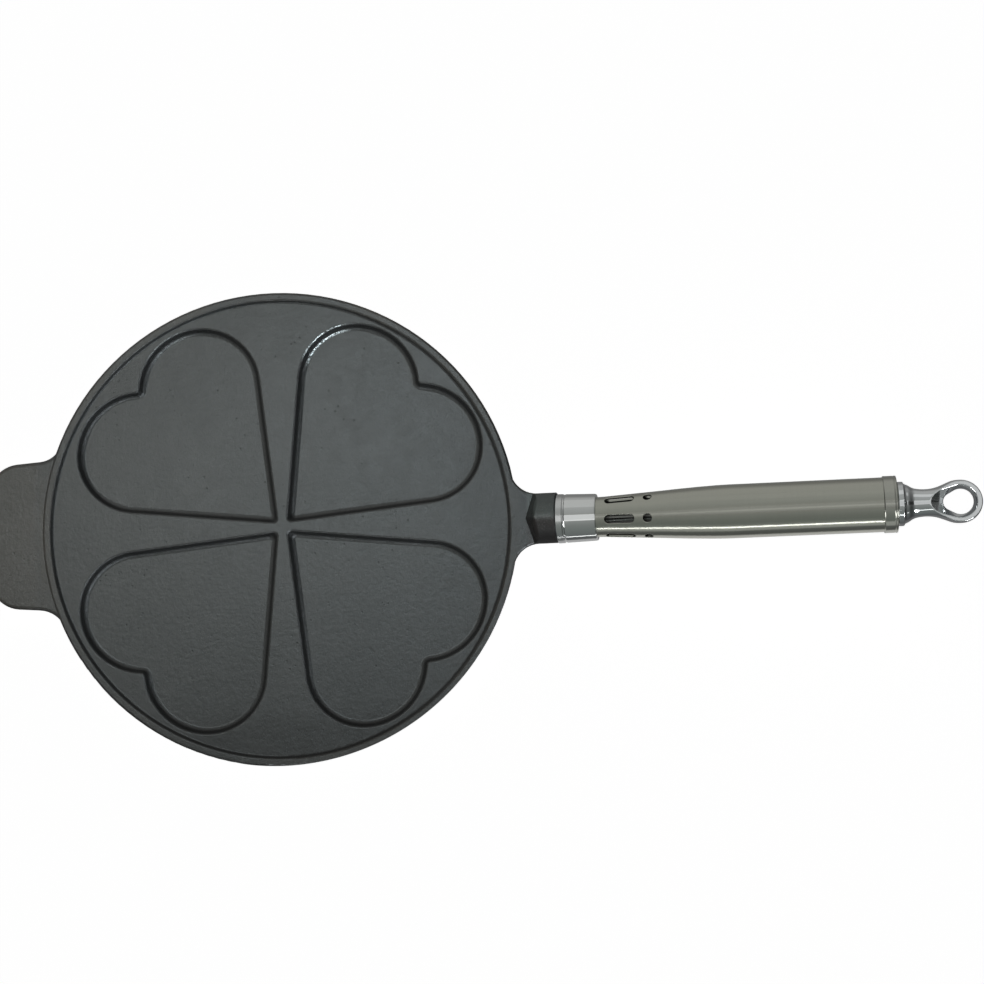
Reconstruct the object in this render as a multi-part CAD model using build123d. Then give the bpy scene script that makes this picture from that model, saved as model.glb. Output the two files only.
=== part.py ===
from build123d import *
import os
from math import sin, cos, tan, radians, degrees, sqrt, atan2, pi

# Cast iron pancake pan with four heart-shaped wells and a bolt-through steel handle.
# Millimetres. Origin: centre of the flat base. +X towards the handle, +Z up.

# ---- griddle casting ----
R_RIM = 115.8          # outer radius of the lip
R_LAND = 110.05        # radius where the lip's inner wall starts
GRIND_R = 117.7        # radius and centre of the cut that trims the lip on its lower right
GRIND_C = (-2.155, 2.758)
LAND = 9.0             # height of the cooking face
LIP = 2.0              # lip above the cooking face
BASE_R = 107.0         # radius of the flat base
WELL = 4.6             # depth of a heart well
WELL_DRAFT = 16.0      # wall slope of a well, degrees from upright
WELL_FILLET = 2.3      # floor fillet of a well
NOTCH_R = 1.7          # rounding of the land's corner at a well's notch
EDGE_R = 1.2           # rounding of a well's top edge

# one heart well, its point towards the plate's centre on the 45 degree line
TIP = 3.17             # distance of the unrounded point from the centre
SIDE_ANG = 5.966       # angle of a straight side from the X or Y axis
SIDE_L = 71.45         # length of a straight side
LOBE_R1 = 28.08        # lobe radius next to the side
LOBE_R2 = 30.85        # lobe radius towards the notch
# where each well sits off the regular pattern, from +X+Y counterclockwise
WELL_SHIFT = [(0.55, 0.45), (0.35, 0.15), (0.25, 0.0), (0.5, 0.6)]
TIP_R = 1.5            # rounding of the point at the top, larger towards the floor

# helper tab on -X
TAB_UP, TAB_DOWN = 35.9, 36.5   # half widths on +Y and -Y
TAB_END = -140.0
TAB_CORNER = 14.8
TAB_ROOT_R = (11.5, 14.0)      # concave roots on +Y and -Y
TAB_SLANT = 4.5
TAB_LO = 3.0
TAB_HI = 10.3

# flared neck on +X
NECK_UP, NECK_DOWN = 12.45, 12.0
NECK_R = (12.8, 13.8)  # concave plan radii, plate to neck, on +Y and -Y
NECK_END = 124.0
NECK_V = 4.4           # how far the end of the flat top reaches back at the middle
# the stub's pointed back end: two flats that rise steeply from the neck's top
NOSE_X, NOSE_Y = 118.9, 0.4    # where they meet on the neck's top
NOSE_SLOPE = 0.325     # how fast they run towards the handle
NOSE_LEAN = 12.5       # lean towards the handle, degrees

# ---- handle axis: rises from the neck ----
TILT = 12.0
AX, AZ = 130.0, 14.0   # a point on the stub's axis (y = 0)
HY = -0.6              # the machined spigot, and with it the whole handle, sits this far off the cast stub's middle
R_STUB = 12.3
S_STUB0, S_STUB1 = -7.6, 4.6
S_SPIG1 = 9.6          # end of the stub's spigot
R_SPIG = 7.6

# ferrule
S_FER0, S_FER1 = 4.6, 24.0
R_FER0, R_FER1 = 11.95, 11.35
R_SEAT = 9.75          # counterbore that takes the tube's end

# tube: station along the axis and outer radius
TUBE = [(19.0, 9.7), (25.0, 9.72), (30.0, 9.92), (37.0, 10.33), (45.0, 10.8),
        (54.0, 11.33), (63.0, 11.9), (74.0, 12.48), (90.0, 12.9), (158.3, 12.85)]
T_WALL = 1.0
SLOT0, SLOT1, SLOT_W = 28.2, 42.4, 4.0
HOLE_S, HOLE_D = 48.8, 4.0
CLOCK = 10.0           # turn of the vents about the axis
VENT_R = 0.3           # easing of the vents' outer edges

# end cap, washer, loop
S_CAP0, S_CAP1 = 158.3, 164.6
R_CAP = 13.4
WASH = 1.6             # depth of the washer's seat in the cap
GAP = 0.1              # the washer holds the loop's foot this far off the cap
S_FOOT1 = 167.7
R_FOOT = 10.4
S_EYE = 193.3          # centre of the eye's round outside
EYE_R = 10.1
S_HOLE, HOLE_R = 193.4, 5.9   # round end of the eye's hole
S_TIP, TIP_HR = 189.5, 4.0    # its narrower end, towards the neck

# tie rod
R_ROD = 3.0
S_ROD0, S_ROD1 = -6.0, 177.5

os.makedirs("parts", exist_ok=True)
t = radians(TILT)
CAST_PLANE = Plane(origin=(AX, 0, AZ), x_dir=(0, 1, 0), z_dir=(cos(t), 0, sin(t)))
AXIS_PLANE = Plane(origin=(AX, HY, AZ), x_dir=(0, 1, 0), z_dir=(cos(t), 0, sin(t)))


def place(s, plane=AXIS_PLANE):
    """Moves a shape built with its length along local +Z (s = 0 at the axis point) onto the handle axis."""
    return plane.location * s


def turned(pts):
    """Solid of revolution about local Z from (radius, station) points."""
    w = Wire.make_polygon([Vector(r, 0, s) for r, s in pts], close=True)
    return revolve(Face(w), axis=Axis.Z, revolution_arc=360)


def heart_wire(off, z):
    """Heart outline moved inwards by off, in the plane at height z, as one closed loop symmetric about the 45 degree line."""
    a = radians(SIDE_ANG)
    d = (cos(a), sin(a))
    n = (-sin(a), cos(a))
    half = radians(45 - SIDE_ANG)
    r0 = TIP + off / sin(half)
    tip = (r0 / sqrt(2), r0 / sqrt(2))
    base = (TIP / sqrt(2), TIP / sqrt(2))
    # lobe centres stay where they are when the outline moves in
    c1 = (base[0] + d[0] * SIDE_L + n[0] * LOBE_R1, base[1] + d[1] * SIDE_L + n[1] * LOBE_R1)
    r1, r2 = LOBE_R1 - off, LOBE_R2 - off
    p1 = (c1[0] - n[0] * r1, c1[1] - n[1] * r1)
    t0 = atan2(-n[1], -n[0])
    tm = t0 + pi / 2
    um = (cos(tm), sin(tm))
    c2 = (c1[0] + um[0] * (LOBE_R1 - LOBE_R2), c1[1] + um[1] * (LOBE_R1 - LOBE_R2))
    pm = (c1[0] + um[0] * r1, c1[1] + um[1] * r1)
    pmid = (c1[0] + cos((t0 + tm) / 2) * r1, c1[1] + sin((t0 + tm) / 2) * r1)
    # rounded notch: a circle of radius rn centred on the 45 degree line, outside the lobe's arc and touching it
    rn = NOTCH_R + off
    b = c2[0] + c2[1]
    disc = b * b - 2 * (c2[0] ** 2 + c2[1] ** 2 - (r2 + rn) ** 2)
    s = (b + sqrt(disc)) / 2
    ux, uy = (s - c2[0]) / (r2 + rn), (s - c2[1]) / (r2 + rn)
    pe = (c2[0] + ux * r2, c2[1] + uy * r2)
    te = atan2(uy, ux)
    while te < tm:
        te += 2 * pi
    pq = (c2[0] + cos((tm + te) / 2) * r2, c2[1] + sin((tm + te) / 2) * r2)
    pn = (s - rn / sqrt(2), s - rn / sqrt(2))
    # rounded point
    tr = TIP_R + 1.1 * off
    k = tr / tan(half)
    q1 = (tip[0] + d[0] * k, tip[1] + d[1] * k)
    qc = tr / sin(half)
    qm = ((r0 + qc - tr) / sqrt(2), (r0 + qc - tr) / sqrt(2))

    def P(p):
        return Vector(p[0], p[1], z)

    def M(p):
        return Vector(p[1], p[0], z)

    return Wire([
        Edge.make_three_point_arc(M(q1), P(qm), P(q1)),
        Edge.make_line(P(q1), P(p1)),
        Edge.make_three_point_arc(P(p1), P(pmid), P(pm)),
        Edge.make_three_point_arc(P(pm), P(pq), P(pe)),
        Edge.make_three_point_arc(P(pe), P(pn), M(pe)),
        Edge.make_three_point_arc(M(pe), M(pq), M(pm)),
        Edge.make_three_point_arc(M(pm), M(pmid), M(p1)),
        Edge.make_line(M(p1), M(q1)),
    ])


def heart_tool():
    """Cutter for one well: drafted walls and a rounded floor edge."""
    over = 1.0
    g = tan(radians(WELL_DRAFT))
    bot = heart_wire(WELL * g, LAND - WELL)
    top = heart_wire(-over * g, LAND + over)
    tool = Solid.make_loft([bot, top], ruled=True)
    low = [e for e in tool.edges() if abs(e.center().Z - (LAND - WELL)) < 1e-4]
    return tool.fillet(WELL_FILLET, low)


# ---------------------------------------------------------------- pan casting
# plate with lip: turned profile with rounded lip and rounded base corner
with BuildSketch(Plane.XZ) as prof:
    with BuildLine():
        Polyline((0, 0), (BASE_R, 0))
        RadiusArc((BASE_R, 0), (R_RIM - 2.6, 4.6), -6.2)
        Line((R_RIM - 2.6, 4.6), (R_RIM - 0.55, LAND + LIP - 1.7))
        RadiusArc((R_RIM - 0.55, LAND + LIP - 1.7), (R_RIM - 1.75, LAND + LIP), -1.35)
        Line((R_RIM - 1.75, LAND + LIP), (R_LAND + 2.05, LAND + LIP))
        RadiusArc((R_LAND + 2.05, LAND + LIP), (R_LAND + 1.25, LAND + LIP - 0.55), -0.95)
        Line((R_LAND + 1.25, LAND + LIP - 0.55), (R_LAND + 0.75, LAND + 0.5))
        RadiusArc((R_LAND + 0.75, LAND + 0.5), (R_LAND, LAND), 0.95)
        Line((R_LAND, LAND), (0, LAND))
        Line((0, LAND), (0, 0))
    make_face()
plate = revolve(prof.sketch, axis=Axis.Z, revolution_arc=360)
plate = plate & (Pos(GRIND_C[0], GRIND_C[1], 6) * Cylinder(GRIND_R, 20))

def root_arc(rc, p, u, n, rf):
    """Concave arc of radius rf between the line p + u*k (n points away from the solid) and the circle rc about the origin."""
    qx, qy = p[0] + n[0] * rf, p[1] + n[1] * rf
    b = qx * u[0] + qy * u[1]
    c = qx * qx + qy * qy - (rc + rf) ** 2
    k = -b + sqrt(b * b - c)
    cx, cy = qx + u[0] * k, qy + u[1] * k
    on_line = (cx - n[0] * rf, cy - n[1] * rf)
    f = rc / (rc + rf)
    on_circ = (cx * f, cy * f)
    mx, my = (on_line[0] + on_circ[0]) / 2 - cx, (on_line[1] + on_circ[1]) / 2 - cy
    m = sqrt(mx * mx + my * my)
    mid = (cx + mx / m * rf, cy + my / m * rf)
    return on_line, mid, on_circ


def flip(p):
    return (p[0], -p[1])


# helper tab: plan outline with rounded corners and concave roots
RT = R_RIM - 1.0
sl = radians(TAB_SLANT)
u, n = (-cos(sl), -sin(sl)), (-sin(sl), cos(sl))
def tab_side(half, rr):
    """Root, root middle, rim point and corner of one side of the tab, on +Y."""
    p0 = (-RT, half)
    a, b, c = root_arc(RT, p0, u, n, rr)
    k = (TAB_END + RT) / u[0]
    return a, b, c, (p0[0] + u[0] * k, p0[1] + u[1] * k)


tl, tm_, tc, cor = tab_side(TAB_UP, TAB_ROOT_R[0])
bl, bm, bc, bor = [flip(p) for p in tab_side(TAB_DOWN, TAB_ROOT_R[1])]
with BuildSketch(Plane.XY) as tab_sk:
    with BuildLine():
        Line((tc[0] * 0.9, tc[1] * 0.9), tc)
        ThreePointArc(tc, tm_, tl)
        Line(tl, cor)
        ThreePointArc(cor, (TAB_END - 1.5, (cor[1] + bor[1]) / 2), bor)
        Line(bor, bl)
        ThreePointArc(bl, bm, bc)
        Line(bc, (bc[0] * 0.9, bc[1] * 0.9))
        Line((bc[0] * 0.9, bc[1] * 0.9), (tc[0] * 0.9, tc[1] * 0.9))
    make_face()
    fillet([v for v in tab_sk.vertices() if v.X < TAB_END + 4 and abs(v.Y) > 10], TAB_CORNER)
tab = extrude(Plane.XY.offset(TAB_LO).location * tab_sk.sketch, amount=TAB_HI - TAB_LO)
tab_edges = [e for e in tab.edges() if (abs(e.center().Z - TAB_HI) < 1e-3 or abs(e.center().Z - TAB_LO) < 1e-3)
             and sqrt(e.center().X ** 2 + e.center().Y ** 2) > RT + 0.5]
tab = tab.fillet(1.8, tab_edges)

# flared neck: plan outline from the plate to the stub
RN = R_RIM - 1.0
nl, nm, nc = root_arc(RN, (RN, NECK_UP), (1, 0), (0, 1), NECK_R[0])
dl, dm, dc = [flip(p) for p in root_arc(RN, (RN, NECK_DOWN), (1, 0), (0, 1), NECK_R[1])]
with BuildSketch(Plane.XY) as neck_sk:
    with BuildLine():
        Line((nc[0] * 0.93, nc[1] * 0.93), nc)
        ThreePointArc(nc, nm, nl)
        Line(nl, (NECK_END + 6, NECK_UP))
        Line((NECK_END + 6, NECK_UP), (NECK_END + 6, -NECK_DOWN))
        Line((NECK_END + 6, -NECK_DOWN), dl)
        ThreePointArc(dl, dm, dc)
        Line(dc, (dc[0] * 0.93, dc[1] * 0.93))
        Line((dc[0] * 0.93, dc[1] * 0.93), (nc[0] * 0.93, nc[1] * 0.93))
    make_face()
NECK_LO = 1.2
neck = extrude(Plane.XY.offset(NECK_LO).location * neck_sk.sketch, amount=LAND + LIP - NECK_LO)

def side_edge(e, z):
    c = e.center()
    return abs(c.Z - z) < 1e-3 and abs(c.Y) > 8 and c.X < NECK_END + 5.5 and sqrt(c.X ** 2 + c.Y ** 2) > RN - 0.5


neck = neck.fillet(1.1, [e for e in neck.edges() if side_edge(e, LAND + LIP)])
neck = neck.fillet(2.6, [e for e in neck.edges() if side_edge(e, NECK_LO)])
vee = Wire.make_polygon([Vector(NECK_END - NECK_V, 0, 0), Vector(NECK_END, 13, 0), Vector(140, 13, 0), Vector(140, -13, 0), Vector(NECK_END, -13, 0)], close=True)
neck = neck - extrude(Face(vee), amount=30)
inner = Pos(0, 0, 5) * Cylinder(R_RIM - 2.6, 30)
tab = tab - inner
neck = neck - inner

# round stub: blunt cone that grows out of the neck, then a cylinder and the spigot
S_DOME = S_STUB0 + 2.3
with BuildSketch(Plane.XZ) as st:
    with BuildLine():
        Line((0, S_DOME - 4.2), (0, S_STUB1))
        Polyline((0, S_STUB1), (R_STUB - 0.4, S_STUB1), (R_STUB, S_STUB1 - 0.4), (R_STUB, S_DOME + 2.4))
        Spline((R_STUB, S_DOME + 2.4), (R_STUB - 0.7, S_DOME + 0.4), (R_STUB - 2.6, S_DOME - 1.1), (R_STUB - 6.1, S_DOME - 2.5), (0, S_DOME - 4.2),
               tangents=[(0, -1), (-1, -0.35)])
    make_face()
stub = place(revolve(st.sketch, axis=Axis.Z, revolution_arc=360), CAST_PLANE)


def nose_outline(z):
    """Plan outline at height z of the space in front of the two steep flats."""
    x0 = NOSE_X + (z - LAND - LIP) * tan(radians(NOSE_LEAN))
    return Wire.make_polygon([Vector(x0, NOSE_Y, z), Vector(x0 + NOSE_SLOPE * 15, NOSE_Y + 15, z), Vector(132, NOSE_Y + 15, z),
                              Vector(132, NOSE_Y - 15, z), Vector(x0 + NOSE_SLOPE * 15, NOSE_Y - 15, z)], close=True)


nose = Solid.make_loft([nose_outline(LAND - 1.5), nose_outline(28.0)], ruled=True)
nose = nose & place(Pos(0, 0, -9.5) * Cylinder(R_STUB, 17.0), CAST_PLANE)
nose = nose.solids().sort_by(SortBy.VOLUME)[-1]
ridge = [e for e in nose.edges() if e.center().Z > LAND + LIP + 1 and e.center().X < 126.5 and e.bounding_box().min.Z > LAND - 1.6
         and (abs(e.center().Y - NOSE_Y) > 2 or e.bounding_box().size.Z > 6)]
try:
    nose = nose.fillet(0.8, ridge)
except Exception:
    print("nose rounding skipped")
spigot = place(turned([(0, S_STUB1 - 3.0), (R_SPIG, S_STUB1 - 3.0), (R_SPIG, S_SPIG1 - 0.6), (R_SPIG - 0.6, S_SPIG1), (0, S_SPIG1)]))

casting = plate + tab + neck
casting = casting + stub + nose + spigot
tool = heart_tool()
for q in range(4):
    casting = casting - (Pos(WELL_SHIFT[q][0], WELL_SHIFT[q][1], 0) * Rot(0, 0, 90 * q) * tool)
casting = casting.solids().sort_by(SortBy.VOLUME)[-1]
# rounded top edges of the wells
well_edges = casting.edges().filter_by(lambda e: abs(e.center().Z - LAND) < 1e-3 and sqrt(e.center().X ** 2 + e.center().Y ** 2) < R_LAND - 6
                                       and e.bounding_box().size.Z < 1e-3)
try:
    casting = casting.fillet(EDGE_R, well_edges)
except Exception:
    print("well edge rounding skipped")
# blind hole for the tie rod
rod_hole = place(Pos(0, 0, (S_ROD0 - 1.5 + 40) / 2) * Cylinder(R_ROD, 40 - (S_ROD0 - 1.5)))
casting = casting - rod_hole

# ---------------------------------------------------------------- handle pieces
ferrule = place(turned([
    (R_SPIG + 0.1, S_FER0), (R_FER0 - 0.35, S_FER0), (R_FER0, S_FER0 + 0.35), (R_FER0 - 0.02, S_FER0 + 3.0), (R_FER0 - 0.14, S_FER0 + 3.2),
    (R_FER0 - 0.34, S_FER0 + 3.42), (R_FER0 - 0.42, S_FER0 + 3.75), (R_FER0 - 0.34, S_FER0 + 4.1), (R_FER0 - 0.2, S_FER0 + 4.4),
    (R_FER0 - 0.16, S_FER0 + 4.7), (R_FER1 + 0.02, S_FER1 - 0.9), (R_FER1 - 0.06, S_FER1 - 0.55), (R_FER1 - 0.25, S_FER1 - 0.2), (R_FER1 - 0.7, S_FER1), (R_SEAT, S_FER1),
    (R_SEAT, 18.9), (R_SPIG + 0.1, 18.9)]))

jam_nut = RegularPolygon(radius=10.0 / 2, side_count=6, major_radius=False)
jam_nut = extrude(jam_nut, amount=5.0) - Cylinder(R_ROD, 20)
jam_nut = place(Pos(0, 0, S_SPIG1 + 0.02) * jam_nut)

front_bush = place(turned([(R_ROD + 0.3, 19.0), (8.65, 19.0), (8.65, 24.4), (6.4, 24.4), (5.6, 25.2), (R_ROD + 0.3, 25.2)]))


def tube_profile():
    out = [Vector(r, 0, s) for s, r in TUBE]
    inn = [Vector(r - T_WALL, 0, s) for s, r in TUBE]
    o1 = Edge.make_line(out[0], out[1])
    o2 = Edge.make_spline(out[1:9], tangents=[Vector(0, 0, 1), Vector(0, 0, 1)])
    o3 = Edge.make_line(out[8], out[9])
    i1 = Edge.make_line(inn[0], inn[1])
    i2 = Edge.make_spline(inn[1:9], tangents=[Vector(0, 0, 1), Vector(0, 0, 1)])
    i3 = Edge.make_line(inn[8], inn[9])
    e1 = Edge.make_line(out[9], inn[9])
    e0 = Edge.make_line(inn[0], out[0])
    return Face(Wire([o1, o2, o3, e1, i3, i2, i1, e0]))


tube = revolve(tube_profile(), axis=Axis.Z, revolution_arc=360)
for k in range(6):
    ang = 90 + 60 * k + CLOCK
    L = SLOT1 - SLOT0
    with BuildSketch(Plane.YZ) as sl:
        SlotOverall(L, SLOT_W, rotation=90)
    cut = extrude(sl.sketch, amount=20)
    cut = Pos(0, 0, (SLOT0 + SLOT1) / 2) * cut
    rnd = Pos(0, 0, HOLE_S) * (Rot(0, 90, 0) * Pos(0, 0, 10) * Rot(0, 0, 47) * Cylinder(HOLE_D / 2, 20))
    tube = tube - (Rot(0, 0, ang) * cut) - (Rot(0, 0, ang) * rnd)
# eased outer edges of the vents
def outer(e):
    """True for a vent edge that lies on the tube's outer face."""
    p = e.position_at(0.5)
    r = sqrt(p.X ** 2 + p.Y ** 2)
    s = p.Z
    for (s0, r0), (s1, r1) in zip(TUBE[:-1], TUBE[1:]):
        if s0 <= s <= s1:
            want = r0 + (r1 - r0) * (s - s0) / (s1 - s0)
            return abs(r - want) < 0.25
    return False


vent_outer = [e for e in tube.edges() if SLOT0 - 1 < e.center().Z < HOLE_S + 3 and outer(e)]
tube = tube.fillet(VENT_R, vent_outer)
handle_tube = place(tube)

end_cap = place(turned([
    (R_ROD + 0.3, 152.6), (11.8, 152.6), (11.8, S_CAP0), (R_CAP - 0.42, S_CAP0), (R_CAP - 0.16, S_CAP0 + 0.12), (R_CAP - 0.02, S_CAP0 + 0.4),
    (R_CAP, S_CAP0 + 0.7), (R_CAP - 0.03, S_CAP0 + 1.1), (R_CAP - 0.03, S_CAP1 - 1.6), (R_CAP - 0.12, S_CAP1 - 1.4), (R_CAP - 0.12, S_CAP1 - 1.25),
    (R_CAP + 0.02, S_CAP1 - 1.0), (R_CAP + 0.05, S_CAP1 - 0.6), (R_CAP - 0.08, S_CAP1 - 0.28), (R_CAP - 0.3, S_CAP1 - 0.07), (R_CAP - 0.6, S_CAP1), (9.2, S_CAP1), (9.2, S_CAP1 - WASH), (R_ROD + 0.3, S_CAP1 - WASH)]))

spring_washer = place(turned([(R_ROD + 0.3, S_CAP1 - WASH), (8.9, S_CAP1 - WASH), (8.9, S_CAP1 + GAP), (R_ROD + 0.3, S_CAP1 + GAP)]))

# hanging loop: foot, waisted neck that grows into a flattened round end, and an egg-shaped eye with flared rims
foot = turned([(0, S_CAP1 + GAP), (R_FOOT - 0.35, S_CAP1 + GAP), (R_FOOT, S_CAP1 + GAP + 0.35), (R_FOOT, S_FOOT1 - 0.35), (R_FOOT - 0.35, S_FOOT1), (0, S_FOOT1)])
with BuildSketch(Plane.XZ) as ns:
    with BuildLine():
        Line((0, S_FOOT1 - 0.2), (R_FOOT - 0.55, S_FOOT1 - 0.2))
        Spline((R_FOOT - 0.55, S_FOOT1 - 0.2), (8.6, 169.7), (7.35, 171.7), (6.7, 173.9), (6.4, 177.4), (6.6, 180.4), (7.6, 184.1), (9.3, 188.3), (EYE_R, S_EYE),
               tangents=[(-0.75, 0.66), (0, 1)])
        ThreePointArc((EYE_R, S_EYE), (EYE_R * sin(radians(45)), S_EYE + EYE_R * sin(radians(45))), (0, S_EYE + EYE_R))
        Line((0, S_EYE + EYE_R), (0, S_FOOT1 - 0.2))
    make_face()
body = revolve(ns.sketch, axis=Axis.Z, revolution_arc=360)
# the two flattened sides, seen from the side
with BuildSketch(Plane.YZ) as side:
    with BuildLine():
        Polyline((12, S_FOOT1 - 2), (12, 176.0), (7.3, 177.4))
        Spline((7.3, 177.4), (5.6, 181.6), (4.5, 187.0), (3.7, 194.0), (3.2, 204.5), tangents=[(-0.45, 0.9), (-0.03, 1)])
        Line((3.2, 204.5), (-3.2, 204.5))
        Spline((-3.2, 204.5), (-3.7, 194.0), (-4.5, 187.0), (-5.6, 181.6), (-7.3, 177.4), tangents=[(-0.03, -1), (-0.45, -0.9)])
        Polyline((-7.3, 177.4), (-12, 176.0), (-12, S_FOOT1 - 2), (12, S_FOOT1 - 2))
    make_face()
body = body & extrude(side.sketch, amount=14, both=True)


def egg(off, h, stretch=0.0):
    """Outline of the eye's hole, larger by off, at height h above the eye's middle plane; stretch moves its narrow end towards the neck."""
    R, r, sp = HOLE_R + off, TIP_HR + off, S_TIP - stretch
    nz = -(R - r) / (S_HOLE - sp)
    nx = sqrt(1 - nz * nz)

    def P(x, z):
        return Vector(x, -h, z)

    return Wire([
        Edge.make_line(P(R * nx, S_HOLE + R * nz), P(r * nx, sp + r * nz)),
        Edge.make_three_point_arc(P(r * nx, sp + r * nz), P(0, sp - r), P(-r * nx, sp + r * nz)),
        Edge.make_line(P(-r * nx, sp + r * nz), P(-R * nx, S_HOLE + R * nz)),
        Edge.make_three_point_arc(P(-R * nx, S_HOLE + R * nz), P(0, S_HOLE + R), P(R * nx, S_HOLE + R * nz)),
    ])


def flare(h):
    """Outline at height h: straight in the middle, widening towards both faces."""
    k = max(0.0, abs(h) - 1.1)
    return egg(0.70 * k, h, 0.42 * k)


hole = Solid.make_loft([flare(h) for h in (-7.6, -1.1, 1.1, 7.6)], ruled=True)
eye = body - hole
loop = foot + eye
loop = loop.solids().sort_by(SortBy.VOLUME)[-1]
loop = loop - (Pos(0, 0, (160 + S_ROD1 + 1.0) / 2) * Cylinder(R_ROD + 0.05, S_ROD1 + 1.0 - 160))
hanging_loop = place(loop)

tie_rod = place(turned([(0, S_ROD0), (R_ROD - 0.5, S_ROD0), (R_ROD, S_ROD0 + 0.5), (R_ROD, S_ROD1 - 0.5), (R_ROD - 0.5, S_ROD1), (0, S_ROD1)]))

nodes = {
    "pan_casting": casting, "ferrule": ferrule, "jam_nut": jam_nut, "tie_rod": tie_rod, "front_bush": front_bush,
    "handle_tube": handle_tube, "end_cap": end_cap, "spring_washer": spring_washer, "hanging_loop": hanging_loop,
}
for name, s in nodes.items():
    sol = s.solids()
    print(name, len(sol), [round(x.volume, 1) for x in sol], all(x.is_valid for x in sol))
    export_step(sol[0] if len(sol) == 1 else Compound(children=list(sol)), f"parts/{name}.step")
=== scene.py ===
import bpy, bmesh, math
from mathutils import Matrix, Vector

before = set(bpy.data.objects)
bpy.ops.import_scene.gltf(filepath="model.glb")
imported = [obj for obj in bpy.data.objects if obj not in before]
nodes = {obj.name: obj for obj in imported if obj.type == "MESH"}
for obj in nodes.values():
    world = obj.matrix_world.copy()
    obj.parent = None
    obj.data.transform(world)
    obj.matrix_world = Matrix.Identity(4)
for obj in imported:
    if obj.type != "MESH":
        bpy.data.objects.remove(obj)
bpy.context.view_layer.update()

MM = 0.001
TILT = math.radians(12.0)
AXIS = Vector((math.cos(TILT), 0, math.sin(TILT)))
A0 = Vector((130.0 * MM, -0.6 * MM, 14.0 * MM))


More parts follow.
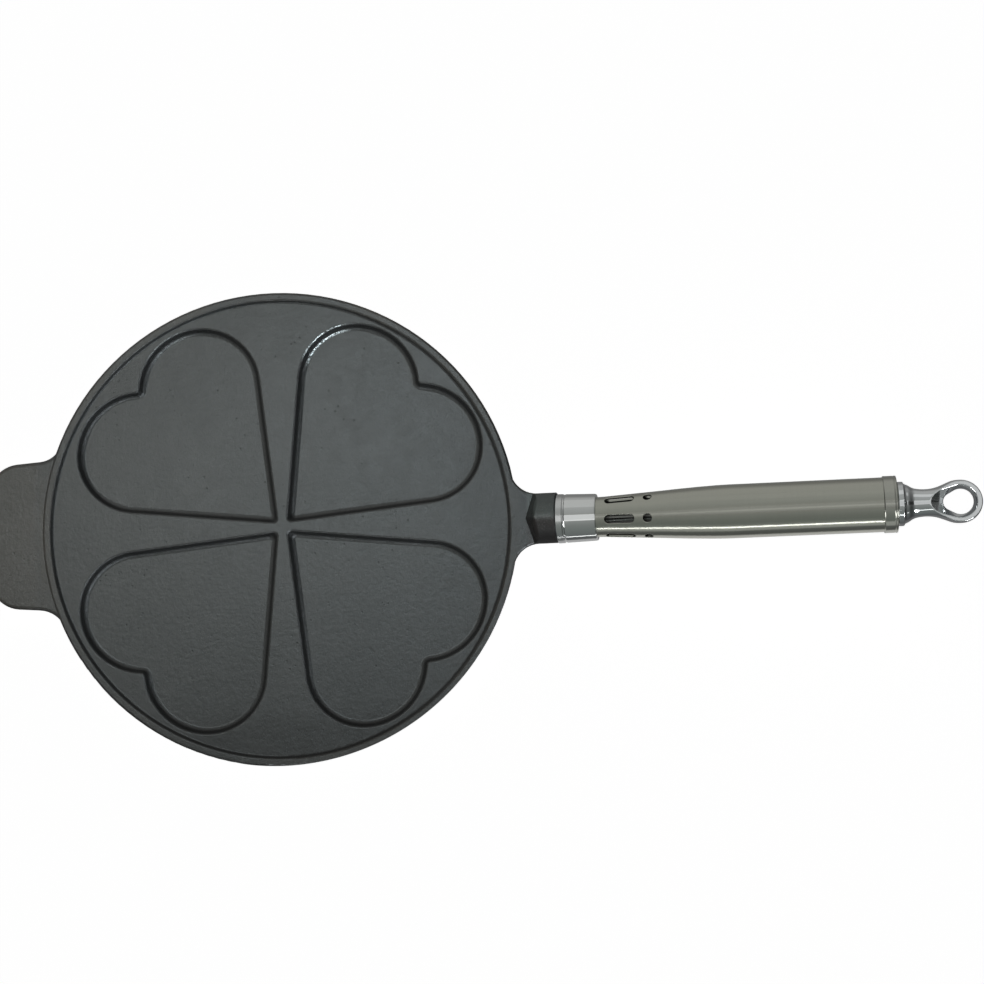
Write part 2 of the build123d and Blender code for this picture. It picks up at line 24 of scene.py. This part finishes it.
# ------------------------------------------------------------------ node helpers
class Mat:
    """A material with short calls for its nodes."""

    def __init__(self, name):
        self.m = bpy.data.materials.new(name)
        self.m.use_nodes = True
        self.t = self.m.node_tree
        self.b = self.t.nodes["Principled BSDF"]

    def n(self, kind, **props):
        node = self.t.nodes.new(kind)
        for k, v in props.items():
            setattr(node, k, v)
        return node

    def link(self, a, b):
        self.t.links.new(a, b)

    def coords(self, rot=(0, 0, 0), scale=(1, 1, 1), loc=(0, 0, 0)):
        tc = self.n("ShaderNodeTexCoord")
        mp = self.n("ShaderNodeMapping")
        mp.vector_type = "POINT"
        mp.inputs["Rotation"].default_value = rot
        mp.inputs["Scale"].default_value = scale
        mp.inputs["Location"].default_value = loc
        self.link(tc.outputs["Object"], mp.inputs["Vector"])
        return mp.outputs["Vector"]

    def scaled(self, vec, s):
        mp = self.n("ShaderNodeMapping")
        mp.inputs["Scale"].default_value = s if hasattr(s, "__len__") else (s, s, s)
        self.link(vec, mp.inputs["Vector"])
        return mp.outputs["Vector"]

    def noise(self, vec, scale, detail=2.0, rough=0.5, dist=0.0):
        x = self.n("ShaderNodeTexNoise")
        x.inputs["Scale"].default_value = scale
        x.inputs["Detail"].default_value = detail
        x.inputs["Roughness"].default_value = rough
        x.inputs["Distortion"].default_value = dist
        self.link(vec, x.inputs["Vector"])
        return x.outputs["Fac"]

    def voronoi(self, vec, scale, rand=1.0, feature="F1"):
        x = self.n("ShaderNodeTexVoronoi", feature=feature)
        x.inputs["Scale"].default_value = scale
        x.inputs["Randomness"].default_value = rand
        self.link(vec, x.inputs["Vector"])
        return x.outputs["Distance"]

    def ramp(self, fac, stops, mode="LINEAR"):
        r = self.n("ShaderNodeValToRGB")
        cr = r.color_ramp
        cr.interpolation = mode
        while len(cr.elements) < len(stops):
            cr.elements.new(0.5)
        for e, (p, c) in zip(cr.elements, stops):
            e.position = p
            e.color = (c, c, c, 1) if not hasattr(c, "__len__") else (*c, 1)
        self.link(fac, r.inputs["Fac"])
        return r.outputs["Color"]

    def rng(self, fac, a, b, c, d, clamp=True, smooth=False):
        r = self.n("ShaderNodeMapRange", clamp=clamp)
        if smooth:
            r.interpolation_type = "SMOOTHSTEP"
        for i, v in zip(("From Min", "From Max", "To Min", "To Max"), (a, b, c, d)):
            r.inputs[i].default_value = v
        self.link(fac, r.inputs["Value"])
        return r.outputs["Result"]

    def math(self, op, a, b=None, c=None):
        x = self.n("ShaderNodeMath", operation=op)
        for i, v in enumerate((a, b, c)):
            if v is None:
                continue
            if isinstance(v, (int, float)):
                x.inputs[i].default_value = v
            else:
                self.link(v, x.inputs[i])
        return x.outputs["Value"]

    def mix(self, fac, a, b, blend="MIX"):
        x = self.n("ShaderNodeMix", data_type="RGBA", blend_type=blend)
        for i, v in ((0, fac), (6, a), (7, b)):
            if isinstance(v, (int, float)):
                x.inputs[i].default_value = v
            elif hasattr(v, "__len__"):
                x.inputs[i].default_value = (*v, 1)
            else:
                self.link(v, x.inputs[i])
        return x.outputs[2]

    def vec(self, op, a, b=None, out="Vector"):
        x = self.n("ShaderNodeVectorMath", operation=op)
        for i, v in enumerate((a, b)):
            if v is None:
                continue
            if hasattr(v, "__len__"):
                x.inputs[i].default_value = v
            else:
                self.link(v, x.inputs[i])
        return x.outputs[out]

    def xyz(self, v):
        x = self.n("ShaderNodeSeparateXYZ")
        self.link(v, x.inputs[0])
        return x.outputs[0], x.outputs[1], x.outputs[2]

    def normal(self):
        return self.n("ShaderNodeNewGeometry").outputs["Normal"]

    def bump(self, height, strength, distance, normal=None):
        x = self.n("ShaderNodeBump")
        x.inputs["Strength"].default_value = strength
        x.inputs["Distance"].default_value = distance
        self.link(height, x.inputs["Height"])
        if normal is not None:
            self.link(normal, x.inputs["Normal"])
        return x.outputs["Normal"]

    def set(self, **values):
        for k, v in values.items():
            s = self.b.inputs[k.replace("_", " ")]
            if isinstance(v, (int, float)):
                s.default_value = v
            elif hasattr(v, "__len__"):
                s.default_value = (*v, 1) if len(v) == 3 else v
            else:
                self.link(v, s)


# ------------------------------------------------------------------ cast iron
def cast_iron():
    m = Mat("cast_iron_seasoned")
    p = m.coords()
    x, y, z = m.xyz(p)
    nx, ny, nz = m.xyz(m.normal())
    flat = m.rng(m.math("ABSOLUTE", nz), 0.45, 0.93, 0.0, 1.0, smooth=True)
    # the stub counts as flat: smoother, and without the painted wall shade, apart from its steep back end
    stub = m.math("MULTIPLY", m.rng(x, 0.1175, 0.1190, 0.0, 0.8), m.rng(nz, 0.22, 0.5, 0.0, 1.0, smooth=True))
    flat = m.math("MAXIMUM", flat, stub)
    radius = m.vec("LENGTH", m.vec("MULTIPLY", p, (1, 1, 0)), out="Value")
    # the lip's outer rounding counts as flat too, smoother and without the painted wall shade, apart from the near side
    outer = m.math("MULTIPLY", m.rng(radius, 0.1130, 0.1138, 0.0, 1.0), m.rng(nz, 0.12, 0.5, 0.0, 0.8))
    outer = m.math("MULTIPLY", outer, m.rng(y, -0.075, -0.030, 0.0, 1.0))
    outer = m.math("MULTIPLY", outer, m.rng(radius, 0.1165, 0.1175, 1.0, 0.0))
    flat = m.math("MAXIMUM", flat, outer)
    # towards the handle the lip's wall faces the light, so it is left lighter and the painted wall shade is kept only
    # at its foot
    foot = m.math("MULTIPLY", m.rng(radius, 0.1103, 0.1106, 0.0, 1.0), m.rng(radius, 0.1109, 0.1113, 1.0, 0.0))
    lip_wall_facing_light = m.math("MULTIPLY", m.rng(x, 0.040, 0.085, 0.0, 0.85, smooth=True), m.math("SUBTRACT", 1.0, foot))
    lip_wall_facing_light = m.math("MULTIPLY", lip_wall_facing_light, m.math("MULTIPLY", m.rng(radius, 0.1095, 0.1100, 0.0, 1.0), m.rng(radius, 0.1135, 0.1145, 1.0, 0.0)))
    flat = m.math("MAXIMUM", flat, lip_wall_facing_light)
    edge = m.rng(m.math("ABSOLUTE", nz), 0.88, 0.985, 1.0, 0.0)
    edge = m.math("MULTIPLY", edge, m.rng(x, 0.116, 0.1175, 1.0, 0.0))
    grain = m.noise(p, 900, 3.0, 0.62)
    sand = m.noise(p, 2600, 2.0, 0.6)
    peel = m.noise(p, 430, 2.0, 0.55)
    broad = m.noise(p, 22, 3.0, 0.55)
    mid = m.noise(p, 150, 3.0, 0.6)
    # casting pits, in loose groups
    pit_d = m.voronoi(m.scaled(p, (1, 1, 0.6)), 260)
    pits = m.rng(pit_d, 0.05, 0.17, 1.0, 0.0, smooth=True)
    where = m.rng(m.noise(p, 55, 2.0), 0.50, 0.62, 0.0, 1.0)
    pits = m.math("MULTIPLY", pits, where)
    # the flats are burnished by grinding and use and stay smoother; steep faces, such as the walls of the wells, get a
    # darker colour, which is painted shade
    tone = m.math("ADD", m.math("MULTIPLY", broad, 0.5), m.math("MULTIPLY", mid, 0.3))
    tone = m.math("ADD", tone, m.math("MULTIPLY", peel, 0.3))
    col = m.ramp(tone, [(0.40, (0.046, 0.0475, 0.0465)), (0.56, (0.056, 0.0575, 0.0565)), (0.74, (0.067, 0.068, 0.067))])
    # painted shade for the steep walls, mottled by the grain
    painted_wall_shade = m.ramp(grain, [(0.3, (0.017, 0.0175, 0.017)), (0.7, (0.030, 0.0305, 0.030))])
    col = m.mix(flat, painted_wall_shade, col)
    col = m.mix(m.math("MULTIPLY", pits, 0.55), col, (0.024, 0.024, 0.023))
    # the tab is made lighter and browner; the lip's crown keeps a faint brown of burnt-on oil
    tab = m.rng(x, -0.121, -0.113, 1.0, 0.0, smooth=True)
    col = m.mix(tab, col, m.mix(1.0, col, (1.35, 1.24, 1.13), "MULTIPLY"))
    crown = m.math("MULTIPLY", m.rng(radius, 0.1106, 0.1114, 0.0, 1.0), m.rng(broad, 0.40, 0.62, 0.2, 0.9))
    crown = m.math("MULTIPLY", crown, m.rng(m.math("ABSOLUTE", x), 0.1155, 0.1170, 1.0, 0.0))
    col = m.mix(crown, col, m.mix(1.0, col, (1.13, 1.04, 0.95), "MULTIPLY"))
    # painted light and shade on the stub: its far side is made much lighter and greenish, its near side darker, with a
    # brown stain
    near = m.rng(y, 0.0015, -0.0015, 0.0, 1.0, smooth=True)
    stub_side_light_and_stain = m.mix(near, (1.62, 1.80, 1.76), (0.86, 0.76, 0.76))
    col = m.mix(m.rng(x, 0.119, 0.1205, 0.0, 1.0), col, m.mix(1.0, col, stub_side_light_and_stain, "MULTIPLY"))
    # painted shade: the plate is made darker along its near edge
    near_edge_shade = m.math("MULTIPLY", m.rng(y, -0.082, -0.100, 0.0, 1.0, smooth=True), m.rng(radius, 0.1116, 0.1108, 0.0, 1.0))
    col = m.mix(near_edge_shade, col, m.mix(1.0, col, (0.66, 0.65, 0.64), "MULTIPLY"))
    # bare specks on the lip and the tab's edges, where the casting was fettled
    lip = m.math("MULTIPLY", m.rng(radius, 0.1112, 0.1122, 0.0, 1.0), m.rng(z, 0.0098, 0.0106, 0.0, 1.0))
    speck = m.rng(m.noise(p, 1500, 2.0, 0.7), 0.56, 0.70, 0.0, 1.0)
    patch = m.rng(m.noise(p, 34, 2.0, 0.6), 0.47, 0.60, 0.0, 1.0)
    fettled = m.math("MULTIPLY", lip, m.math("MULTIPLY", speck, patch))
    col = m.mix(m.math("MULTIPLY", fettled, 0.7), col, (0.19, 0.185, 0.17))
    # painted glints: two stretches of the far wells' edges get bright metallic specks, where the glint lamps'
    # highlights fall
    band = m.math("MULTIPLY", m.rng(nz, 0.70, 0.80, 0.0, 1.0), m.rng(nz, 0.975, 0.992, 1.0, 0.0))
    far_r = m.vec("LENGTH", m.vec("MULTIPLY", m.vec("SUBTRACT", p, (0.0215, 0.0920, 0)), (1, 1, 0)), out="Value")
    far_l = m.vec("LENGTH", m.vec("MULTIPLY", m.vec("SUBTRACT", p, (-0.0530, 0.0890, 0)), (1, 1, 0)), out="Value")
    painted_glint_specks = m.math("ADD", m.rng(far_r, 0.010, 0.0165, 1.0, 0.0, smooth=True), m.rng(far_l, 0.008, 0.014, 0.28, 0.0, smooth=True))
    painted_glint_specks = m.math("MULTIPLY", m.math("MULTIPLY", painted_glint_specks, band), m.rng(m.noise(p, 1300, 2.0, 0.75), 0.46, 0.55, 0.0, 1.0))
    painted_glint_specks = m.math("MULTIPLY", painted_glint_specks, m.rng(radius, 0.1085, 0.1090, 1.0, 0.0))
    col = m.mix(painted_glint_specks, col, (0.52, 0.56, 0.56))
    m.set(Metallic=painted_glint_specks)
    # worn crests along the edges of the wells and the lip
    r0 = m.rng(mid, 0.3, 0.7, 0.29, 0.35)
    r1 = m.math("ADD", m.rng(flat, 0.0, 1.0, 0.16, 0.0), m.math("MULTIPLY", m.math("SUBTRACT", grain, 0.5), 0.14))
    dots = m.rng(m.noise(p, 1900, 2.0, 0.7), 0.44, 0.58, -0.06, 0.18)
    rough = m.math("ADD", m.math("ADD", r0, r1), m.math("MULTIPLY", dots, edge))
    h = m.math("ADD", m.math("MULTIPLY", grain, 0.55), m.math("MULTIPLY", sand, 0.25))
    h = m.math("ADD", h, m.math("MULTIPLY", peel, 0.9))
    h = m.math("ADD", h, m.math("MULTIPLY", mid, 0.9))
    h = m.math("ADD", h, m.math("MULTIPLY", m.math("MULTIPLY", sand, m.math("SUBTRACT", 1.0, flat)), 1.3))
    h = m.math("ADD", h, m.math("MULTIPLY", m.math("MULTIPLY", sand, edge), 1.9))
    h = m.math("SUBTRACT", h, m.math("MULTIPLY", pits, 0.9))
    m.set(Base_Color=col, Roughness=rough, Normal=m.bump(h, 0.7, 0.00012))
    m.b.inputs["Specular IOR Level"].default_value = 0.5
    return m.m


# ------------------------------------------------------------------ steels
def axis_coords(m):
    """Coordinates with X along the handle, measured from the stub's reference point."""
    tc = m.n("ShaderNodeTexCoord")
    v = m.vec("SUBTRACT", tc.outputs["Object"], tuple(A0))
    mp = m.n("ShaderNodeMapping")
    mp.inputs["Rotation"].default_value = (0, TILT, 0)
    m.link(v, mp.inputs["Vector"])
    return mp.outputs["Vector"]


def steel_tangent(m):
    """Direction along the handle, across the fine lathe marks, which spread reflections this way."""
    n = m.normal()
    return m.vec("CROSS_PRODUCT", n, m.vec("CROSS_PRODUCT", tuple(AXIS), n))


def inside(m, p):
    """1 on faces that look towards the handle's axis, such as the tube's bore."""
    rad = m.vec("MULTIPLY", p, (0, 1, 1))
    mp = m.n("ShaderNodeMapping")
    mp.vector_type = "VECTOR"
    mp.inputs["Rotation"].default_value = (0, TILT, 0)
    m.link(m.normal(), mp.inputs["Vector"])
    d = m.vec("DOT_PRODUCT", m.vec("NORMALIZE", rad), mp.outputs["Vector"], out="Value")
    return m.rng(d, -0.6, -0.3, 1.0, 0.0)


def brushed(name, base, rough, aniso, line_strength, wear=0.5, bore=True):
    m = Mat(name)
    p = axis_coords(m)
    lines = m.noise(m.scaled(p, (7000, 60, 60)), 1.0, 3.0, 0.7)
    lines2 = m.noise(m.scaled(p, (2600, 14, 14)), 1.0, 2.0, 0.6)
    along = m.noise(m.scaled(p, (9, 620, 620)), 1.0, 2.0, 0.6)
    cloud = m.noise(m.scaled(p, (0.45, 1, 1)), 60, 3.0, 0.55)
    smudge = m.noise(p, 150, 3.0, 0.6)
    f = m.math("ADD", m.math("MULTIPLY", lines, 0.6), m.math("MULTIPLY", lines2, 0.4))
    dark = tuple(c * 0.93 for c in base)
    col = m.mix(m.rng(f, 0.3, 0.7, 0.0, 1.0), dark, base)
    col = m.mix(m.rng(along, 0.45, 0.75, 0.0, 0.30), col, tuple(c * 0.84 for c in base))
    col = m.mix(m.rng(cloud, 0.42, 0.66, 0.0, 0.25), col, tuple(c * 0.88 for c in base))
    r = m.math("ADD", m.rng(f, 0.25, 0.75, rough * 1.12, rough * 0.9), m.math("MULTIPLY", m.rng(smudge, 0.45, 0.7, 0.0, 1.0), 0.04 * wear))
    if bore:
        # painted shade in the bore: faces towards the axis get a dark colour, more roughness and no metal
        bore_shade = inside(m, p)
        col = m.mix(bore_shade, col, (0.085, 0.085, 0.080))
        r = m.math("ADD", r, m.math("MULTIPLY", bore_shade, 0.5))
        m.set(Metallic=m.math("SUBTRACT", 1.0, bore_shade))
    else:
        m.set(Metallic=1.0)
    m.set(Base_Color=col, Roughness=r, Normal=m.bump(f, line_strength, 0.00001))
    m.b.inputs["Anisotropic"].default_value = aniso
    m.link(steel_tangent(m), m.b.inputs["Tangent"])
    return m.m


def polished(name, base, rough, wave=0.0, dull=None):
    m = Mat(name)
    p = axis_coords(m)
    scr = m.noise(m.scaled(p, (900, 2600, 2600)), 1.0, 2.0, 0.6)
    cloud = m.noise(p, 70, 3.0, 0.55)
    broad = m.noise(p, 150, 1.0, 0.5)
    r = m.math("ADD", m.rng(cloud, 0.35, 0.7, rough * 0.8, rough * 1.4), m.rng(scr, 0.62, 0.75, 0.0, 0.04))
    col = m.mix(m.rng(cloud, 0.4, 0.7, 0.0, 0.35), base, tuple(c * 0.90 for c in base))
    if dull:
        # a ring that keeps its turned finish, from the handle's foot to the given station
        ring = m.rng(m.xyz(p)[0], dull - 0.0002, dull, 1.0, 0.0)
        r = m.math("ADD", r, m.math("MULTIPLY", ring, 0.13))
        col = m.mix(m.math("MULTIPLY", ring, 0.5), col, tuple(c * 0.8 for c in base))
    nrm = m.bump(scr, 0.05, 0.00001)
    if wave:
        nrm = m.bump(broad, wave, 0.0003, nrm)
    m.set(Base_Color=col, Metallic=1.0, Roughness=r, Normal=nrm)
    return m.m


IRON = cast_iron()
TUBE = brushed("brushed_steel_tube", (0.52, 0.525, 0.465), 0.20, 0.75, 0.10)
CAP = brushed("brushed_steel_cap", (0.52, 0.525, 0.475), 0.18, 0.7, 0.10, bore=False)
FER = polished("polished_steel_ferrule", (0.70, 0.715, 0.71), 0.07, 0.04, dull=0.0083)
LOOP = polished("polished_steel_loop", (0.70, 0.72, 0.73), 0.07, 0.10)
ROD = polished("plain_steel_rod", (0.52, 0.52, 0.50), 0.28)

for name, mat in {
    "pan_casting": IRON, "ferrule": FER, "jam_nut": ROD, "tie_rod": ROD, "front_bush": ROD,
    "handle_tube": TUBE, "end_cap": CAP, "spring_washer": ROD, "hanging_loop": LOOP,
}.items():
    o = nodes[name]
    o.data.materials.clear()
    o.data.materials.append(mat)

# the loop is forged and buffed, so its edges are soft
loop = nodes["hanging_loop"]
rm = loop.modifiers.new("buffed", "REMESH")
rm.mode = "VOXEL"
rm.voxel_size = 0.00022
rm.use_smooth_shade = True
sm = loop.modifiers.new("soft", "SMOOTH")
sm.factor = 0.5
sm.iterations = 8

# ------------------------------------------------------------------ floor
bpy.ops.mesh.primitive_plane_add(size=12, location=(0.1, 0, -0.0004))
floor = bpy.context.object
floor.name = "floor"
fm = Mat("pale_floor")
fp = fm.coords()
fc = fm.mix(fm.rng(fm.noise(fp, 3, 3.0), 0.3, 0.7, 0.0, 1.0), (0.80, 0.80, 0.80), (0.82, 0.82, 0.82))
# soft shade straight under the handle
fx, fy, fz = fm.xyz(fp)
half = fm.rng(fx, 0.066, 0.112, 0.0102, 0.0134)
off = fm.math("ABSOLUTE", fm.math("SUBTRACT", fy, fm.rng(fx, 0.066, 0.112, 0.0011, 0.00165)))
shade = fm.rng(fm.math("DIVIDE", off, half), 0.84, 0.92, 1.0, 0.0, smooth=True)
shade = fm.math("MULTIPLY", shade, fm.math("MULTIPLY", fm.rng(fx, 0.014, 0.022, 0.0, 1.0, smooth=True), fm.rng(fx, 0.130, 0.192, 1.0, 0.0, smooth=True)))
fm.set(Base_Color=fc, Roughness=0.9, Emission_Color=fm.mix(shade, (1.0, 1.0, 1.0), (0.30, 0.30, 0.29)))
fm.b.inputs["Specular IOR Level"].default_value = 0.1
fm.b.inputs["Emission Strength"].default_value = 0.992
# the floor only shows from above, so the pan's underside can be seen too
ft = fm.m.node_tree
fo = next(n for n in ft.nodes if n.type == "OUTPUT_MATERIAL")
side = ft.nodes.new("ShaderNodeNewGeometry")
clear = ft.nodes.new("ShaderNodeBsdfTransparent")
pick = ft.nodes.new("ShaderNodeMixShader")
ft.links.new(side.outputs["Backfacing"], pick.inputs[0])
ft.links.new(fm.b.outputs[0], pick.inputs[1])
ft.links.new(clear.outputs[0], pick.inputs[2])
ft.links.new(pick.outputs[0], fo.inputs["Surface"])
floor.data.materials.append(fm.m)
floor.visible_glossy = False
floor.visible_diffuse = False
floor.visible_shadow = False

# ------------------------------------------------------------------ studio surroundings
world = bpy.data.worlds.new("studio")
bpy.context.scene.world = world
world.use_nodes = True
wt = world.node_tree
wt.nodes.clear()


def wn(kind, **props):
    n = wt.nodes.new(kind)
    for k, v in props.items():
        setattr(n, k, v)
    return n


tc = wn("ShaderNodeTexCoord")
sep = wn("ShaderNodeSeparateXYZ")
wt.links.new(tc.outputs["Generated"], sep.inputs[0])
neg = wn("ShaderNodeMath", operation="MULTIPLY")
neg.inputs[1].default_value = -1.0
wt.links.new(sep.outputs["Y"], neg.inputs[0])
at = wn("ShaderNodeMath", operation="ARCTAN2")
wt.links.new(neg.outputs[0], at.inputs[0])
wt.links.new(sep.outputs["Z"], at.inputs[1])
mr = wn("ShaderNodeMapRange")
mr.inputs["From Min"].default_value = -math.pi
mr.inputs["From Max"].default_value = math.pi
wt.links.new(at.outputs[0], mr.inputs["Value"])
ramp = wn("ShaderNodeValToRGB")
wt.links.new(mr.outputs["Result"], ramp.inputs["Fac"])
# angle from straight up, towards -Y, in degrees, and the brightness there
SKY = [
    (-180, (0.20, 0.20, 0.20)),
    (-125, (0.24, 0.24, 0.235)),
    (-104, (0.46, 0.46, 0.45)),
    (-55, (0.46, 0.465, 0.455)),
    (-40, (0.42, 0.43, 0.42)),
    (-22, (0.38, 0.39, 0.38)),
    (-15, (0.36, 0.365, 0.35)),
    (-12, (0.13, 0.135, 0.13)),
    (9, (0.12, 0.125, 0.12)),
    (13, (0.34, 0.345, 0.335)),
    (24, (0.29, 0.305, 0.295)),
    (40, (0.235, 0.25, 0.24)),
    (60, (0.20, 0.22, 0.21)),
    (86, (0.17, 0.185, 0.18)),
    (100, (0.15, 0.16, 0.16)),
    (118, (0.11, 0.115, 0.115)),
    (135, (0.20, 0.20, 0.20)),
    (180, (0.20, 0.20, 0.20)),
]
cr = ramp.color_ramp
while len(cr.elements) < len(SKY):
    cr.elements.new(0.5)
for e, (a, c) in zip(cr.elements, SKY):
    e.position = (a + 180) / 360
    e.color = (*c, 1)
# darker towards both ends of the handle
ax = wn("ShaderNodeMath", operation="ABSOLUTE")
wt.links.new(sep.outputs["X"], ax.inputs[0])
endr = wn("ShaderNodeMapRange")
for k, v in zip(("From Min", "From Max", "To Min", "To Max"), (0.45, 0.85, 1.0, 0.22)):
    endr.inputs[k].default_value = v
wt.links.new(ax.outputs[0], endr.inputs["Value"])
ends = wn("ShaderNodeMix", data_type="RGBA", blend_type="MULTIPLY")
ends.inputs[0].default_value = 1.0
wt.links.new(ramp.outputs["Color"], ends.inputs[6])
wt.links.new(endr.outputs["Result"], ends.inputs[7])
bg = wn("ShaderNodeBackground")
bg.inputs["Strength"].default_value = 1.0
wt.links.new(ends.outputs[2], bg.inputs["Color"])
plain = wn("ShaderNodeBackground")
plain.inputs["Color"].default_value = (0.93, 0.93, 0.93, 1)
lp = wn("ShaderNodeLightPath")
ms = wn("ShaderNodeMixShader")
wt.links.new(lp.outputs["Is Camera Ray"], ms.inputs[0])
wt.links.new(bg.outputs[0], ms.inputs[1])
wt.links.new(plain.outputs[0], ms.inputs[2])
out = wn("ShaderNodeOutputWorld")
wt.links.new(ms.outputs[0], out.inputs["Surface"])


def receivers(name, objs):
    c = bpy.data.collections.new(name)
    for o in objs:
        c.objects.link(o)
    return c


OBJECT = receivers("lit_object", list(nodes.values()))
FLOOR = receivers("lit_floor", [floor])
IRON_ONLY = receivers("lit_iron", [nodes["pan_casting"]])
GRIP = receivers("lit_grip", [nodes["handle_tube"], nodes["end_cap"]])
TUBE_ONLY = receivers("lit_tube", [nodes["handle_tube"]])
CAP_ONLY = receivers("lit_cap", [nodes["end_cap"]])
COLLAR = receivers("lit_collar", [nodes["ferrule"]])
EYE = receivers("lit_loop", [nodes["hanging_loop"]])
world.cycles_visibility.diffuse = False


def lamp(kind, name, loc, target, power, colour=(1, 1, 1), glossy=True, diffuse=True, only=None, **props):
    d = bpy.data.lights.new(name, kind)
    d.energy = power
    d.color = colour
    for k, v in props.items():
        setattr(d, k, v)
    o = bpy.data.objects.new(name, d)
    bpy.context.scene.collection.objects.link(o)
    o.location = loc
    o.rotation_mode = "QUATERNION"
    o.rotation_quaternion = (Vector(target) - Vector(loc)).to_track_quat("-Z", "Y")
    o.visible_glossy = glossy
    o.visible_diffuse = diffuse
    o.visible_camera = False
    if only is not None:
        o.light_linking.receiver_collection = only
    return o


def strip(name, phi, width, radiance, only, tilt=0.0, length=2.4, dist=1.3, x=0.24, colour=(1, 1, 1)):
    """Long panel parallel to X, seen from the handle at phi degrees from straight up towards -Y, width in degrees."""
    a = math.radians(phi)
    c = Vector((x, 0, 0.04))
    w = 2 * dist * math.tan(math.radians(width / 2))
    o = lamp("AREA", name, c + Vector((0, -math.sin(a), math.cos(a))) * dist, c, radiance * math.pi * length * w, colour,
             glossy=True, only=only, shape="RECTANGLE", size=length, size_y=w)
    return o


# key from the upper left
lamp("SPOT", "key", (-0.95, 0.30, 1.30), (-0.03, 0.12, 0), 50, (1.0, 0.99, 0.97), glossy=False, only=OBJECT,
     spot_size=math.radians(24), spot_blend=1.0, shadow_soft_size=0.10)
# panels whose sheen lies on the flats of the casting
for k, (px, py, power, tint) in enumerate((
        (-0.45, 0.08, 1.30, (0.94, 1.0, 0.975)), (-0.18, 0.08, 0.20, (0.92, 1.0, 0.98)), (0.09, 0.08, 1.28, (0.86, 1.0, 1.05)),
        (-0.45, 0.36, 0.40, (0.95, 1.0, 0.975)), (-0.18, 0.36, 0.85, (0.92, 1.0, 0.99)), (0.09, 0.36, 1.28, (0.87, 1.0, 1.05)))):
    lamp("AREA", "sheen_%d" % k, (px, py, 1.7), (px, py, 0), power, tint, only=IRON_ONLY, shape="RECTANGLE", size=0.27, size_y=0.28)
# soft light from below, for the underside
lamp("AREA", "under", (0.0, 0.0, -1.3), (0.0, 0.0, 0), 26, glossy=False, only=IRON_ONLY, shape="RECTANGLE", size=1.2, size_y=1.2)
# low window on the near right, seen only as glints on rounded edges
lamp("AREA", "glint", (0.66, -0.72, 0.80), (0.02, 0.06, 0), 15, (0.88, 0.97, 1.03), diffuse=False, only=IRON_ONLY, shape="RECTANGLE", size=0.9, size_y=0.45)
lamp("SPOT", "glint_spot", (0.62, -0.76, 0.80), (0.030, 0.089, 0.01), 32, (0.90, 0.98, 1.02), diffuse=False, only=IRON_ONLY,
     spot_size=math.radians(9), spot_blend=1.0, shadow_soft_size=0.16)
# the grip's soft upper band and its bright line
strip("grip_top", -1.5, 25, 0.30, GRIP)
strip("grip_mid", 0, 5, 0.22, GRIP)
strip("grip_line", 76, 2.4, 7.2, TUBE_ONLY)
strip("grip_glow", 85, 22, 0.27, GRIP)
strip("grip_low", 150, 44, 0.44, GRIP)
# small windows that catch the cap's rolled edges
lamp("AREA", "cap_near", (1.15, -0.66, 0.46), (0.285, 0, 0.05), 3.0, only=CAP_ONLY, shape="RECTANGLE", size=0.24, size_y=0.95)
lamp("AREA", "cap_far", (-0.55, -0.60, 0.50), (0.270, 0, 0.05), 2.4, only=CAP_ONLY, shape="RECTANGLE", size=0.24, size_y=0.95)
# the collar's bands
strip("collar_top", 1, 30, 0.66, COLLAR)
strip("collar_back", -74, 44, 0.10, COLLAR)
strip("collar_line", 103, 3.5, 2.2, COLLAR)
strip("collar_low", 152, 44, 0.28, COLLAR)
lamp("AREA", "collar_end", (-0.80, -0.41, 0.44), (0.138, 0, 0.03), 3.0, only=COLLAR, shape="RECTANGLE", size=0.46, size_y=0.56)
# the loop's bright patches
strip("loop_top", -2, 30, 0.55, EYE)
strip("loop_back", -60, 24, 0.25, EYE)
strip("loop_front", 62, 7, 1.4, EYE)
lamp("AREA", "loop_low", (0.72, -0.80, 0.42), (0.32, 0, 0.05), 3.4, only=EYE, shape="RECTANGLE", size=0.30, size_y=0.26)
lamp("AREA", "loop_left", (-0.30, -0.55, 0.70), (0.31, 0, 0.05), 3.0, only=EYE, shape="RECTANGLE", size=0.34, size_y=0.34)

# ------------------------------------------------------------------ camera
F_PX, DIST = 1600.0, 779.21
TX, TY = -102.50, -17.28
RX, RY, RZ = math.radians(-3.861), math.radians(1.432), math.radians(1.936)
v = Vector((RX, RY, 0))
R = Matrix.Rotation(v.length, 3, v.normalized()) @ Matrix.Rotation(RZ, 3, "Z")
RT = R.transposed()
cam_d = bpy.data.cameras.new("camera")
cam = bpy.data.objects.new("camera", cam_d)
bpy.context.scene.collection.objects.link(cam)
cam_d.sensor_width = 36.0
cam_d.lens = F_PX / 984 * 36
cam_d.clip_start, cam_d.clip_end = 0.01, 50
pos = (RT @ Vector((-TX, -TY, DIST)) + Vector((0, 0, 9.0))) * MM
m4 = RT.to_4x4()
m4.translation = pos
cam.matrix_world = m4
bpy.context.scene.camera = cam
bpy.context.scene.view_settings.view_transform = "Standard"

bpy.context.view_layer.update()
